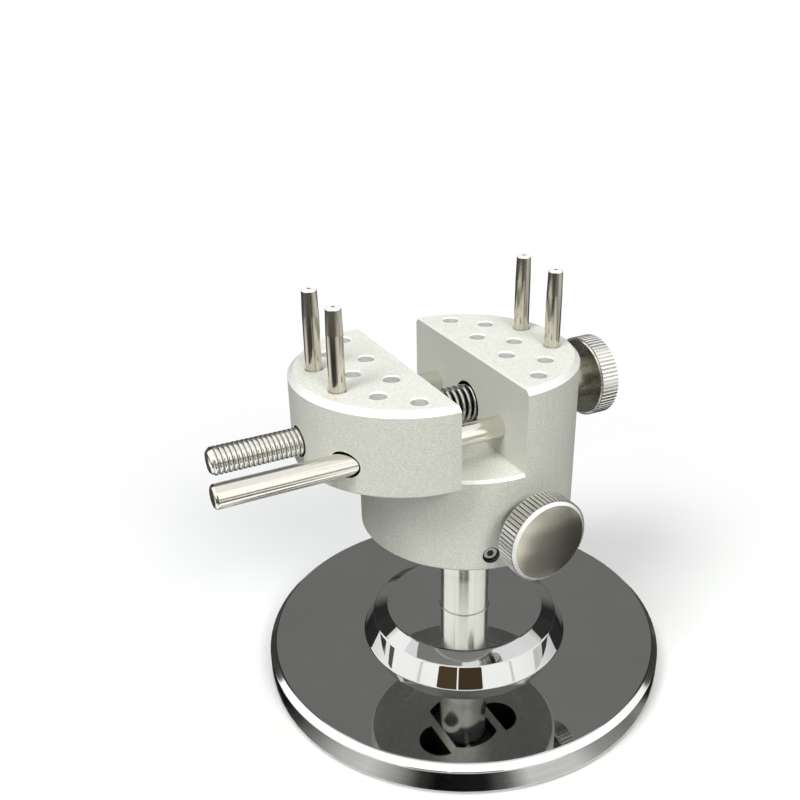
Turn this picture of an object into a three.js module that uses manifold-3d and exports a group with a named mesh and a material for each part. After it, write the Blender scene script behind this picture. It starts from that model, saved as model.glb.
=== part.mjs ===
// Hobby vise on a heavy round base: a round swivelling head on a post, with a fixed and a sliding jaw.
// Millimetres, +Z up. The origin is the middle of the base's underside and X runs along the lead screw.
import * as THREE from 'three';
import { mergeVertices } from 'three/addons/utils/BufferGeometryUtils.js';
import Module from 'manifold-3d';

const wasm = await Module();
wasm.setup();

// Facets round a large, a middle and a small circle
const LARGE_FACETS = 72;
const MIDDLE_FACETS = 40;
const SMALL_FACETS = 24;
const FULL_TURN = Math.PI * 2;
const QUARTER_TURN = Math.PI / 2;
const HEXAGON_SIDES = 6;

// Clearances and cut overrun
const RUNNING_FIT = 0.06;
const PRESSED_FIT = 0.02;
const THREAD_FIT = 0.08;
const SEAT_GAP = 0.1;
const OVERRUN = 1;
const MERGE_DISTANCE = 0.00001;

// Base
const BASE_RADIUS = 49.1;
const BASE_WALL_TOP = 6.5;
const BASE_TOP = 7.7;
const BASE_TOP_BEVEL = 1.5;
const BASE_LIP_BEVEL = 0.4;
const BASE_LIP_HEIGHT = 0.4;
const HUB_FOOT_RADIUS = 25.4;
const HUB_WAIST_RADIUS = 23.0;
const HUB_WAIST_HEIGHT = 4.9;
const HUB_TOP_RADIUS = 19.4;
const HUB_HEIGHT = 6.8;

// Pad under the base
const PAD_INSET = 4.1;
const PAD_THICKNESS = 2;
const PAD_PROUD = 0.4;

// Post, its screw and its washer
const POST_RADIUS = 6.17;
const POST_SEAT_DEPTH = 4.5;
const POST_CHAMFER = 0.5;
const POST_SCREW_RADIUS = 2.5;
const POST_SCREW_HOLE_CLEARANCE = 0.3;
const POST_SCREW_LENGTH = 12;
const POST_SCREW_HEAD_RADIUS = 4.25;
const POST_SCREW_HEAD_HEIGHT = 5;
const POST_SCREW_SOCKET_ACROSS = 4;
const POST_SCREW_SOCKET_DEPTH = 2.5;
const POST_SCREW_RELIEF = 1;
const POST_WASHER_RADIUS = 4.6;
const POST_WASHER_THICKNESS = 0.6;
const POST_COUNTERBORE_CLEARANCE = 0.4;
const POST_GROOVE_RADIUS = 5.2;
const POST_GROOVE_WIDTH = 3.2;

// Head: lower drum and jaws
const HEAD_RADIUS = 25;
const HEAD_BOTTOM = 40.9;
const SHELF_HEIGHT = 22.6;
const JAW_HEIGHT = 19.4;
const JAW_FLOAT = 0.3;
const JAW_GAP = 15.6;
const DRUM_BOTTOM_CHAMFER = 0.65;
const SHELF_CHAMFER = 0.6;
const JAW_TOP_CHAMFER = 1.25;
const JAW_BOTTOM_CHAMFER = 0.4;
const JAW_EDGE_CHAMFER = 0.35;
const POST_BORE_DEPTH = 17.4;
const THRUST_PAD_THICKNESS = 1.5;
const THRUST_PAD_MARGIN = 0.4;
const POST_TOP_BELOW_PAD = 0.1;

// Recesses in the underside of the head
const UNDERSIDE_RECESS_RADIUS = 17.6;
const UNDERSIDE_RECESS_DEPTH = 0.4;
const WELL_RADIUS = 9.8;
const WELL_HALF_WIDTH = 6.3;
const WELL_DEPTH = 3.4;
const POCKET_RADIUS = 5.7;
const POCKET_OFFSET = 8.6;
const POCKET_SET_FORWARD = 3.1;
const POCKET_DEPTH = 10;
const POCKET_WEB = 2.1;

// Open mouths of the bores in the sliding jaw's outer side
const SCREW_MOUTH_RADIUS = 3.4;
const SCREW_MOUTH_DEPTH = 1.5;
const ROD_MOUTH_RADIUS = 2.9;
const ROD_MOUTH_DEPTH = 8;

// Lead screw, its knob and its washer
const DRIVE_BELOW_JAW_TOP = 12.75;
const SCREW_RADIUS = 3;
const SCREW_END_CHAMFER = 0.6;
const SCREW_PROUD = 19.1;
const SCREW_KNOB_BITE = 4;
const KNOB_RADIUS = 9.6;
const KNOB_RIM_LENGTH = 5.2;
const KNOB_FACE_CHAMFER = 0.5;
const KNOB_DOME_HEIGHT = 0.9;
const KNOB_DOME_RINGS = 5;
const KNOB_BOSS_RADIUS = 5;
const SCREW_KNOB_BOSS_LENGTH = 6;
const SCREW_WASHER_RADIUS = 6;
const SCREW_WASHER_THICKNESS = 1;
const SPOT_FACE_RADIUS = 6.4;
const SPOT_FACE_DEPTH = 0.85;

// Guide rods
const ROD_RADIUS = 2.5;
const ROD_OFFSET = 14;
const ROD_SEAT_DEPTH = 17;
const ROD_END_CHAMFER = 0.5;
const FRONT_ROD_PROUD = 22.3;
const REAR_ROD_SHORT = 5.1;

// Spring round the lead screw and the pockets that hold its ends
const SPRING_WIRE_RADIUS = 0.42;
const SPRING_COIL_RADIUS = 4;
const SPRING_TURNS = 19;
const SPRING_STEPS_PER_TURN = 8;
const SPRING_BEND_STEPS = 3;
const SPRING_WIRE_SIDES = 5;
const SPRING_END_GAP = 0.3;
const SPRING_POCKET_RADIUS = 5.1;
const SPRING_POCKET_DEPTH = 9;

// Anti-pinch pins and the holes that they stand in
const PIN_RADIUS = 1.75;
const PIN_TOP_RADIUS = 1.62;
const PIN_STANDING_HEIGHT = 17.7;
const PIN_TAPER_HEIGHT = 12;
const PIN_TOP_CHAMFER = 0.35;
const PIN_HOLE_DEPTH = 8;
const PIN_HOLE_CHAMFER = 0.3;
const PIN_SPACING = 12.7;
const PIN_OUTER_ROW_INSET = 6.75;
const PIN_ROW_PITCH = 6;
const PIN_ROW_COUNTS = [4, 3, 2];
const PINNED_ROW_INDEX = 2;

// Lock knob, its stud and its tip
const LOCK_AZIMUTH = -88;
const LOCK_RISE = 10.2;
const LOCK_STUD_RADIUS = 3;
const LOCK_KNOB_STANDOFF = 0.7;
const LOCK_KNOB_BOSS_LENGTH = 2.6;
const LOCK_KNOB_BITE = 4;
const LOCK_TIP_RADIUS = 2.4;
const LOCK_TIP_LENGTH = 2.5;
const LOCK_TIP_GAP = 0.15;

// Grub screw whose dog point runs in the groove of the post
const GRUB_AZIMUTH = -107;
const GRUB_RISE = 4;
const GRUB_RADIUS = 1.5;
const GRUB_DOG_RADIUS = 1.1;
const GRUB_DOG_LENGTH = 2;
const GRUB_TIP_GAP = 0.25;
const GRUB_BELOW_SURFACE = 0.9;
const GRUB_MOUTH_CHAMFER = 0.45;
const GRUB_SOCKET_ACROSS = 1.5;
const GRUB_SOCKET_DEPTH = 2;

// Places that follow from the sizes above
const BASE_BOTTOM = PAD_PROUD;
const BASE_TOP_RADIUS = BASE_RADIUS - BASE_TOP_BEVEL;
const BASE_LIP_RADIUS = BASE_RADIUS - BASE_LIP_BEVEL;
const PAD_RADIUS = BASE_RADIUS - PAD_INSET;
const HUB_WAIST_TOP = BASE_TOP + HUB_WAIST_HEIGHT;
const HUB_TOP = BASE_TOP + HUB_HEIGHT;
const POST_BOTTOM = HUB_TOP - POST_SEAT_DEPTH;
const SHELF_Z = HEAD_BOTTOM + SHELF_HEIGHT;
const JAW_TOP = SHELF_Z + JAW_HEIGHT;
const DRIVE_Z = JAW_TOP - DRIVE_BELOW_JAW_TOP;
const BORE_TOP = HEAD_BOTTOM + POST_BORE_DEPTH;
const THRUST_PAD_BOTTOM = BORE_TOP - THRUST_PAD_THICKNESS;
const POST_TOP = THRUST_PAD_BOTTOM - POST_TOP_BELOW_PAD;
const LOCK_Z = HEAD_BOTTOM + LOCK_RISE;
const GRUB_Z = HEAD_BOTTOM + GRUB_RISE;
const BORE_RADIUS = POST_RADIUS + RUNNING_FIT;
const SPOT_FACE_X = HEAD_RADIUS - SPOT_FACE_DEPTH;
const KNOB_BACK_X = SPOT_FACE_X + SCREW_WASHER_THICKNESS + 2 * SEAT_GAP;
const JAW_OUTER_REACH = JAW_GAP + HEAD_RADIUS;
const SCREW_REACH = JAW_OUTER_REACH + SCREW_PROUD;
const FRONT_ROD_REACH = JAW_OUTER_REACH + FRONT_ROD_PROUD;
const REAR_ROD_REACH = JAW_OUTER_REACH - REAR_ROD_SHORT;
const LOCK_KNOB_BACK = HEAD_RADIUS + LOCK_KNOB_STANDOFF;
const PIN_HOLE_RADIUS = PIN_RADIUS + RUNNING_FIT;
const PIN_HOLE_BOTTOM = JAW_TOP - PIN_HOLE_DEPTH;

// Turns a three.js geometry into a manifold solid.
function solid(geometry) {
  geometry.deleteAttribute('normal');
  geometry.deleteAttribute('uv');
  const merged = mergeVertices(geometry, MERGE_DISTANCE);
  const mesh = new wasm.Mesh({
    numProp: 3,
    vertProperties: new Float32Array(merged.attributes.position.array),
    triVerts: new Uint32Array(merged.index.array),
  });
  return new wasm.Manifold(mesh);
}

// Turns a manifold solid back into a three.js geometry.
function geometryOf(manifold) {
  const mesh = manifold.getMesh();
  const geometry = new THREE.BufferGeometry();
  geometry.setAttribute('position', new THREE.BufferAttribute(new Float32Array(mesh.vertProperties), 3));
  geometry.setIndex(new THREE.BufferAttribute(new Uint32Array(mesh.triVerts), 1));
  geometry.computeVertexNormals();
  return geometry;
}

// A solid turned about Z from [radius, height] points that run up from the axis and back to it.
function turned(points, facets) {
  const profile = points.map(([radius, height]) => new THREE.Vector2(radius, height));
  const geometry = new THREE.LatheGeometry(profile, facets);
  geometry.rotateX(QUARTER_TURN);
  return geometry;
}

// A plain cylinder along +Z from one height to another.
function cylinder(radius, from, to, facets) {
  return turned([[0, from], [radius, from], [radius, to], [0, to]], facets);
}

// A cylinder with both end edges chamfered.
function chamferedRod(radius, from, to, chamferFrom, chamferTo, facets) {
  return turned([
    [0, from],
    [radius - chamferFrom, from],
    [radius, from + chamferFrom],
    [radius, to - chamferTo],
    [radius - chamferTo, to],
    [0, to],
  ], facets);
}

// Lays a shape that stands along +Z along +X, at the height of the drive.
function alongX(geometry, y = 0) {
  geometry.rotateY(QUARTER_TURN);
  geometry.translate(0, y, DRIVE_Z);
  return geometry;
}

// Lays a shape that stands along +Z outwards from the post's axis, at an azimuth and a height.
function outwards(geometry, azimuth, height) {
  geometry.rotateY(QUARTER_TURN);
  geometry.rotateZ(THREE.MathUtils.degToRad(azimuth));
  geometry.translate(0, 0, height);
  return geometry;
}

// A hexagonal prism along +Z, by its size across flats.
function hexagon(across, from, to) {
  const corner = across / 2 / Math.cos(Math.PI / HEXAGON_SIDES);
  const geometry = new THREE.CylinderGeometry(corner, corner, to - from, HEXAGON_SIDES);
  geometry.rotateX(QUARTER_TURN);
  geometry.translate(0, 0, (from + to) / 2);
  return geometry;
}

function box(low, high) {
  const size = high.map((value, axis) => value - low[axis]);
  const geometry = new THREE.BoxGeometry(...size);
  geometry.translate(...low.map((value, axis) => value + size[axis] / 2));
  return geometry;
}

// The heavy turned base: a rimmed disc with a coned hub, hollow below for the pad and the screw.
function baseShape() {
  const recessTop = PAD_THICKNESS;
  const body = solid(turned([
    [0, recessTop],
    [PAD_RADIUS + RUNNING_FIT, recessTop],
    [PAD_RADIUS + RUNNING_FIT, BASE_BOTTOM],
    [BASE_LIP_RADIUS, BASE_BOTTOM],
    [BASE_RADIUS, BASE_BOTTOM + BASE_LIP_HEIGHT],
    [BASE_RADIUS, BASE_WALL_TOP],
    [BASE_TOP_RADIUS, BASE_TOP],
    [HUB_FOOT_RADIUS, BASE_TOP],
    [HUB_WAIST_RADIUS, HUB_WAIST_TOP],
    [HUB_TOP_RADIUS, HUB_TOP],
    [0, HUB_TOP],
  ], LARGE_FACETS));
  const bore = solid(cylinder(POST_RADIUS + PRESSED_FIT, POST_BOTTOM, HUB_TOP + OVERRUN, MIDDLE_FACETS));
  const hole = solid(cylinder(
    POST_SCREW_RADIUS + POST_SCREW_HOLE_CLEARANCE, recessTop - OVERRUN, POST_BOTTOM + OVERRUN, SMALL_FACETS));
  const counterbore = solid(cylinder(
    POST_WASHER_RADIUS + POST_COUNTERBORE_CLEARANCE, recessTop - OVERRUN, counterboreTop(), MIDDLE_FACETS));
  return body.subtract(bore).subtract(hole).subtract(counterbore);
}

function counterboreTop() {
  return PAD_THICKNESS + SEAT_GAP + POST_SCREW_HEAD_HEIGHT + POST_WASHER_THICKNESS;
}

function padShape() {
  return cylinder(PAD_RADIUS, 0, PAD_THICKNESS, LARGE_FACETS);
}

// The post: a ground bar with a groove for the grub screw and a threaded hole in its foot.
function postShape() {
  const grooveLow = GRUB_Z - POST_GROOVE_WIDTH / 2;
  const grooveHigh = GRUB_Z + POST_GROOVE_WIDTH / 2;
  const bar = solid(turned([
    [0, POST_BOTTOM],
    [POST_RADIUS - POST_CHAMFER, POST_BOTTOM],
    [POST_RADIUS, POST_BOTTOM + POST_CHAMFER],
    [POST_RADIUS, grooveLow],
    [POST_GROOVE_RADIUS, grooveLow],
    [POST_GROOVE_RADIUS, grooveHigh],
    [POST_RADIUS, grooveHigh],
    [POST_RADIUS, POST_TOP - POST_CHAMFER],
    [POST_RADIUS - POST_CHAMFER, POST_TOP],
    [0, POST_TOP],
  ], MIDDLE_FACETS));
  const tapped = solid(cylinder(
    POST_SCREW_RADIUS + THREAD_FIT, POST_BOTTOM - OVERRUN, postScrewTop() + POST_SCREW_RELIEF, SMALL_FACETS));
  return bar.subtract(tapped);
}

function postScrewTop() {
  return POST_BOTTOM + POST_SCREW_LENGTH;
}

// Socket head cap screw that holds the post from below, head down.
function postScrewShape() {
  const headTop = counterboreTop() - POST_WASHER_THICKNESS;
  const headBottom = headTop - POST_SCREW_HEAD_HEIGHT;
  const screw = solid(turned([
    [0, headBottom],
    [POST_SCREW_HEAD_RADIUS, headBottom],
    [POST_SCREW_HEAD_RADIUS, headTop],
    [POST_SCREW_RADIUS, headTop],
    [POST_SCREW_RADIUS, postScrewTop()],
    [0, postScrewTop()],
  ], SMALL_FACETS));
  const socket = solid(hexagon(
    POST_SCREW_SOCKET_ACROSS, headBottom - OVERRUN, headBottom + POST_SCREW_SOCKET_DEPTH));
  return screw.subtract(socket);
}

function postWasherShape() {
  const inner = POST_SCREW_RADIUS + THREAD_FIT;
  const top = counterboreTop();
  const bottom = top - POST_WASHER_THICKNESS;
  return turned([
    [inner, bottom],
    [POST_WASHER_RADIUS, bottom],
    [POST_WASHER_RADIUS, top],
    [inner, top],
    [inner, bottom],
  ], SMALL_FACETS);
}

// Places of the pin holes of one jaw, as [distance back from the jaw's face, sideways].
function pinPlaces() {
  const innerRow = HEAD_RADIUS - PIN_OUTER_ROW_INSET - (PIN_ROW_COUNTS.length - 1) * PIN_ROW_PITCH;
  return PIN_ROW_COUNTS.flatMap((count, row) => Array.from({ length: count }, (_, index) => [
    innerRow + row * PIN_ROW_PITCH,
    (index - (count - 1) / 2) * PIN_SPACING,
  ]));
}

// The two places of one jaw where pins stand.
function pinnedPlaces() {
  const before = PIN_ROW_COUNTS.slice(0, PINNED_ROW_INDEX).reduce((sum, count) => sum + count, 0);
  return pinPlaces().slice(before, before + PIN_ROW_COUNTS[PINNED_ROW_INDEX]);
}

// Half a round jaw whose flat face lies on the YZ plane; side is 1 behind the face towards +X, -1 towards -X.
function halfJaw(side, bottom, bottomChamfer) {
  const round = solid(turned([
    [0, bottom],
    [HEAD_RADIUS - bottomChamfer, bottom],
    [HEAD_RADIUS, bottom + bottomChamfer],
    [HEAD_RADIUS, JAW_TOP - JAW_TOP_CHAMFER],
    [HEAD_RADIUS - JAW_TOP_CHAMFER, JAW_TOP],
    [0, JAW_TOP],
  ], LARGE_FACETS));
  const reach = HEAD_RADIUS + OVERRUN;
  const away = solid(box(
    [side > 0 ? -reach : 0, -reach, bottom - OVERRUN],
    [side > 0 ? 0 : reach, reach, JAW_TOP + OVERRUN],
  ));
  return round.subtract(away).subtract(topEdgeCut(side));
}

// A bar that lies aslant on the top edge of a jaw's flat face and cuts its chamfer.
function topEdgeCut(side) {
  const reach = HEAD_RADIUS + OVERRUN;
  const bar = box([-OVERRUN, -reach, -JAW_EDGE_CHAMFER * Math.SQRT1_2], [OVERRUN, reach, OVERRUN]);
  bar.rotateY(-side * QUARTER_TURN / 2);
  bar.translate(0, 0, JAW_TOP);
  return solid(bar);
}

// What is drilled out for one pin: a blind hole with a chamfered mouth.
function pinDrill() {
  return turned([
    [0, PIN_HOLE_BOTTOM],
    [PIN_HOLE_RADIUS, PIN_HOLE_BOTTOM],
    [PIN_HOLE_RADIUS, JAW_TOP - PIN_HOLE_CHAMFER],
    [PIN_HOLE_RADIUS + PIN_HOLE_CHAMFER + OVERRUN, JAW_TOP + OVERRUN],
    [0, JAW_TOP + OVERRUN],
  ], SMALL_FACETS);
}

// Drills the pin holes of a jaw.
function drillPinHoles(jaw, side) {
  return pinPlaces().reduce((drilled, [back, sideways]) => {
    const drill = pinDrill();
    drill.translate(side * back, sideways, 0);
    return drilled.subtract(solid(drill));
  }, jaw);
}

// A bore along X, from one X to another, at the drive's height.
function boreX(radius, from, to, y, facets) {
  return solid(alongX(cylinder(radius, from, to, facets), y));
}

// Head: drum and fixed jaw in one piece, with every bore in it.
function viseBodyShape() {
  const drum = solid(turned([
    [0, HEAD_BOTTOM],
    [HEAD_RADIUS - DRUM_BOTTOM_CHAMFER, HEAD_BOTTOM],
    [HEAD_RADIUS, HEAD_BOTTOM + DRUM_BOTTOM_CHAMFER],
    [HEAD_RADIUS, SHELF_Z - SHELF_CHAMFER],
    [HEAD_RADIUS - SHELF_CHAMFER, SHELF_Z],
    [0, SHELF_Z],
  ], LARGE_FACETS));
  const jaw = halfJaw(1, SHELF_Z - 2 * SHELF_CHAMFER, 0);
  const below = HEAD_BOTTOM - OVERRUN;
  const outside = HEAD_RADIUS + OVERRUN;
  const cuts = [
    cylinder(BORE_RADIUS, below, BORE_TOP, MIDDLE_FACETS),
    cylinder(UNDERSIDE_RECESS_RADIUS, below, HEAD_BOTTOM + UNDERSIDE_RECESS_DEPTH, LARGE_FACETS),
    outwards(cylinder(LOCK_STUD_RADIUS + THREAD_FIT, 0, outside, SMALL_FACETS), LOCK_AZIMUTH, LOCK_Z),
    outwards(cylinder(SPOT_FACE_RADIUS, SPOT_FACE_X, outside, MIDDLE_FACETS), LOCK_AZIMUTH, LOCK_Z),
    outwards(cylinder(GRUB_RADIUS + THREAD_FIT, 0, outside, SMALL_FACETS), GRUB_AZIMUTH, GRUB_Z),
    outwards(grubMouth(), GRUB_AZIMUTH, GRUB_Z),
  ].map(solid);
  const driveCuts = [
    boreX(SCREW_RADIUS + THREAD_FIT, -OVERRUN, outside, 0, SMALL_FACETS),
    boreX(SPRING_POCKET_RADIUS, -OVERRUN, SPRING_POCKET_DEPTH, 0, MIDDLE_FACETS),
    boreX(SPOT_FACE_RADIUS, SPOT_FACE_X, outside, 0, MIDDLE_FACETS),
    ...[-1, 1].map((side) => boreX(
      ROD_RADIUS + PRESSED_FIT, -OVERRUN, ROD_SEAT_DEPTH, side * ROD_OFFSET, SMALL_FACETS)),
  ];
  const allCuts = [...cuts, ...driveCuts, postWell(), undersidePocket(-1), undersidePocket(1)];
  const whole = allCuts.reduce((body, cut) => body.subtract(cut), drum.add(jaw));
  return drillPinHoles(whole, 1);
}

// The well round the post in the underside of the head, open between two straight webs.
function postWell() {
  const below = HEAD_BOTTOM - OVERRUN;
  const top = HEAD_BOTTOM + WELL_DEPTH;
  const round = solid(cylinder(WELL_RADIUS, below, top, MIDDLE_FACETS));
  const between = solid(box(
    [-WELL_HALF_WIDTH, -WELL_RADIUS - OVERRUN, below],
    [WELL_HALF_WIDTH, WELL_RADIUS + OVERRUN, top + OVERRUN],
  ));
  return round.intersect(between);
}

// A deep pocket beside the well, round outside and straight along the web; side is 1 towards +X.
function undersidePocket(side) {
  const below = HEAD_BOTTOM - OVERRUN;
  const top = HEAD_BOTTOM + POCKET_DEPTH;
  const round = cylinder(POCKET_RADIUS, below, top, SMALL_FACETS);
  round.translate(side * POCKET_OFFSET, -POCKET_SET_FORWARD, 0);
  const inner = side * (WELL_HALF_WIDTH + POCKET_WEB);
  const outer = side * (POCKET_OFFSET + POCKET_RADIUS + OVERRUN);
  const beyond = solid(box(
    [Math.min(inner, outer), -HEAD_RADIUS, below],
    [Math.max(inner, outer), HEAD_RADIUS, top + OVERRUN],
  ));
  return solid(round).intersect(beyond);
}

// The chamfered mouth of the grub screw's hole, as a cone that opens outwards.
function grubMouth() {
  const bore = GRUB_RADIUS + THREAD_FIT;
  const mouth = HEAD_RADIUS - GRUB_MOUTH_CHAMFER;
  return turned([
    [0, mouth - bore],
    [bore + GRUB_MOUTH_CHAMFER + OVERRUN, HEAD_RADIUS + OVERRUN],
    [0, HEAD_RADIUS + OVERRUN],
  ], SMALL_FACETS);
}

// Sliding jaw, with the thread's bore, two guide bores, their open mouths and the pocket for the spring.
function movableJawShape() {
  const jaw = halfJaw(-1, SHELF_Z + JAW_FLOAT, JAW_BOTTOM_CHAMFER);
  const outside = -HEAD_RADIUS - OVERRUN;
  const cuts = [
    boreX(SCREW_RADIUS + THREAD_FIT, outside, OVERRUN, 0, SMALL_FACETS),
    boreX(SPRING_POCKET_RADIUS, -SPRING_POCKET_DEPTH, OVERRUN, 0, MIDDLE_FACETS),
    boreX(SCREW_MOUTH_RADIUS, outside, SCREW_MOUTH_DEPTH - HEAD_RADIUS, 0, MIDDLE_FACETS),
    ...[-1, 1].flatMap((side) => [
      boreX(ROD_RADIUS + RUNNING_FIT, outside, OVERRUN, side * ROD_OFFSET, SMALL_FACETS),
      boreX(ROD_MOUTH_RADIUS, outside, ROD_MOUTH_DEPTH - HEAD_RADIUS, side * ROD_OFFSET, SMALL_FACETS),
    ]),
  ];
  const whole = cuts.reduce((body, cut) => body.subtract(cut), jaw);
  return drillPinHoles(whole, -1);
}

function leadScrewShape() {
  const end = KNOB_BACK_X + SCREW_KNOB_BOSS_LENGTH + SCREW_KNOB_BITE;
  return alongX(chamferedRod(SCREW_RADIUS, -SCREW_REACH, end, SCREW_END_CHAMFER, SCREW_END_CHAMFER, SMALL_FACETS));
}

// A turned knob that stands along +Z from its boss: boss, rim, chamfers and a low dome.
function knobShape(back, bossLength, bite) {
  const rimStart = back + bossLength;
  const rimEnd = rimStart + KNOB_RIM_LENGTH;
  const faceRadius = KNOB_RADIUS - KNOB_FACE_CHAMFER;
  const dome = Array.from({ length: KNOB_DOME_RINGS + 1 }, (_, ring) => {
    const share = 1 - ring / KNOB_DOME_RINGS;
    return [faceRadius * share, rimEnd + KNOB_DOME_HEIGHT * (1 - share * share)];
  });
  const knob = solid(turned([
    [0, back],
    [KNOB_BOSS_RADIUS, back],
    [KNOB_BOSS_RADIUS, rimStart],
    [faceRadius, rimStart],
    [KNOB_RADIUS, rimStart + KNOB_FACE_CHAMFER],
    [KNOB_RADIUS, rimEnd - KNOB_FACE_CHAMFER],
    ...dome,
  ], MIDDLE_FACETS));
  const bore = solid(cylinder(
    SCREW_RADIUS + PRESSED_FIT, back - OVERRUN, rimStart + bite + SEAT_GAP, SMALL_FACETS));
  return knob.subtract(bore);
}

function screwKnobShape() {
  return alongX(geometryOf(knobShape(KNOB_BACK_X, SCREW_KNOB_BOSS_LENGTH, SCREW_KNOB_BITE)));
}

function screwWasherShape() {
  const inner = SCREW_RADIUS + THREAD_FIT;
  const from = SPOT_FACE_X + SEAT_GAP;
  const to = from + SCREW_WASHER_THICKNESS;
  return alongX(turned([
    [inner, from],
    [SCREW_WASHER_RADIUS, from],
    [SCREW_WASHER_RADIUS, to],
    [inner, to],
    [inner, from],
  ], MIDDLE_FACETS));
}

function guideRodShape(reach, y) {
  return alongX(
    chamferedRod(ROD_RADIUS, -reach, ROD_SEAT_DEPTH, ROD_END_CHAMFER, ROD_END_CHAMFER, SMALL_FACETS), y);
}

// Middle line of the spring: a straight end along X, a bend, the coils, a bend and a straight end.
function springPath() {
  const left = -JAW_GAP - SPRING_POCKET_DEPTH + SPRING_END_GAP;
  const right = SPRING_POCKET_DEPTH - SPRING_END_GAP;
  const tail = 2 * SPRING_WIRE_RADIUS;
  const bend = 2 * tail;
  const steps = SPRING_TURNS * SPRING_STEPS_PER_TURN;
  const angleStep = FULL_TURN / SPRING_STEPS_PER_TURN;
  const from = left + tail + bend;
  const to = right - tail - bend;
  const on = (x, angle) => new THREE.Vector3(
    x, SPRING_COIL_RADIUS * Math.sin(angle), SPRING_COIL_RADIUS * Math.cos(angle));
  const coils = Array.from({ length: steps + 1 }, (_, step) => on(
    from + (to - from) * step / steps, step * angleStep));
  const ease = Array.from({ length: SPRING_BEND_STEPS }, (_, step) => (step + 1) / SPRING_BEND_STEPS);
  const swing = angleStep * SPRING_BEND_STEPS / 2;
  const bendIn = ease.map((share) => on(from - bend * share, -swing * Math.sin(share * QUARTER_TURN))).reverse();
  const bendOut = ease.map((share) => on(
    to + bend * share, steps * angleStep + swing * Math.sin(share * QUARTER_TURN)));
  const first = bendIn[0].clone().setX(left);
  const last = bendOut[bendOut.length - 1].clone().setX(right);
  return [first, ...bendIn, ...coils, ...bendOut, last];
}

// Sweeps a round wire of a few sides along a path as one closed tube.
function wireGeometry(path, radius, sides) {
  const positions = [];
  const index = [];
  let normal = new THREE.Vector3(0, 0, 1);
  path.forEach((point, place) => {
    const before = path[Math.max(place - 1, 0)];
    const after = path[Math.min(place + 1, path.length - 1)];
    const tangent = after.clone().sub(before).normalize();
    normal = normal.clone().addScaledVector(tangent, -normal.dot(tangent)).normalize();
    const side = tangent.clone().cross(normal);
    for (let corner = 0; corner < sides; corner += 1) {
      const angle = corner * FULL_TURN / sides;
      const offset = normal.clone().multiplyScalar(radius * Math.cos(angle))
        .addScaledVector(side, radius * Math.sin(angle));
      positions.push(...point.clone().add(offset).toArray());
    }
  });
  const ring = (place, corner) => place * sides + corner % sides;
  for (let place = 0; place < path.length - 1; place += 1) {
    for (let corner = 0; corner < sides; corner += 1) {
      const a = ring(place, corner);
      const b = ring(place, corner + 1);
      const c = ring(place + 1, corner + 1);
      const d = ring(place + 1, corner);
      index.push(a, b, c, a, c, d);
    }
  }
  const end = path.length - 1;
  for (let corner = 1; corner < sides - 1; corner += 1) {
    index.push(ring(0, 0), ring(0, corner + 1), ring(0, corner));
    index.push(ring(end, 0), ring(end, corner), ring(end, corner + 1));
  }
  const geometry = new THREE.BufferGeometry();
  geometry.setAttribute('position', new THREE.Float32BufferAttribute(positions, 3));
  geometry.setIndex(index);
  geometry.computeVertexNormals();
  return geometry;
}

// Least gap between stretches of the wire that are half a turn or more apart, measured on points.
function leastSelfGap(path, radius) {
  const apart = SPRING_STEPS_PER_TURN / 2;
  const between = [];
  path.forEach((point, place) => {
    between.push(point);
    if (place < path.length - 1) between.push(point.clone().lerp(path[place + 1], 0.5));
  });
  let least = Infinity;
  between.forEach((point, place) => {
    for (let other = place + 2 * apart; other < between.length; other += 1) {
      least = Math.min(least, point.distanceTo(between[other]));
    }
  });
  return least - 2 * radius;
}

function springShape() {
  const path = springPath();
  const least = leastSelfGap(path, SPRING_WIRE_RADIUS);
  console.log(`spring: least gap to itself ${least.toFixed(2)} mm`);
  const geometry = wireGeometry(path, SPRING_WIRE_RADIUS, SPRING_WIRE_SIDES);
  geometry.translate(0, 0, DRIVE_Z);
  return geometry;
}

// Anti-pinch pin: a straight shank, a slightly slimmer top and a chamfered end.
function pinShape() {
  const top = JAW_TOP + PIN_STANDING_HEIGHT;
  const taper = JAW_TOP + PIN_TAPER_HEIGHT;
  return turned([
    [0, PIN_HOLE_BOTTOM],
    [PIN_RADIUS, PIN_HOLE_BOTTOM],
    [PIN_RADIUS, taper],
    [PIN_TOP_RADIUS, top - PIN_TOP_CHAMFER],
    [PIN_TOP_RADIUS - PIN_TOP_CHAMFER, top],
    [0, top],
  ], SMALL_FACETS);
}

function thrustPadShape() {
  return cylinder(POST_RADIUS - THRUST_PAD_MARGIN, THRUST_PAD_BOTTOM, BORE_TOP, MIDDLE_FACETS);
}

function lockKnobShape() {
  const knob = geometryOf(knobShape(LOCK_KNOB_BACK, LOCK_KNOB_BOSS_LENGTH, LOCK_KNOB_BITE));
  return outwards(knob, LOCK_AZIMUTH, LOCK_Z);
}

function lockTipStart() {
  return POST_RADIUS + LOCK_TIP_GAP;
}

function lockStudShape() {
  const from = lockTipStart() + LOCK_TIP_LENGTH + SEAT_GAP;
  const to = LOCK_KNOB_BACK + LOCK_KNOB_BOSS_LENGTH + LOCK_KNOB_BITE;
  const stud = chamferedRod(LOCK_STUD_RADIUS, from, to, SCREW_END_CHAMFER, SCREW_END_CHAMFER, SMALL_FACETS);
  return outwards(stud, LOCK_AZIMUTH, LOCK_Z);
}

function lockTipShape() {
  const from = lockTipStart();
  return outwards(
    cylinder(LOCK_TIP_RADIUS, from, from + LOCK_TIP_LENGTH, SMALL_FACETS), LOCK_AZIMUTH, LOCK_Z);
}

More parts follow.
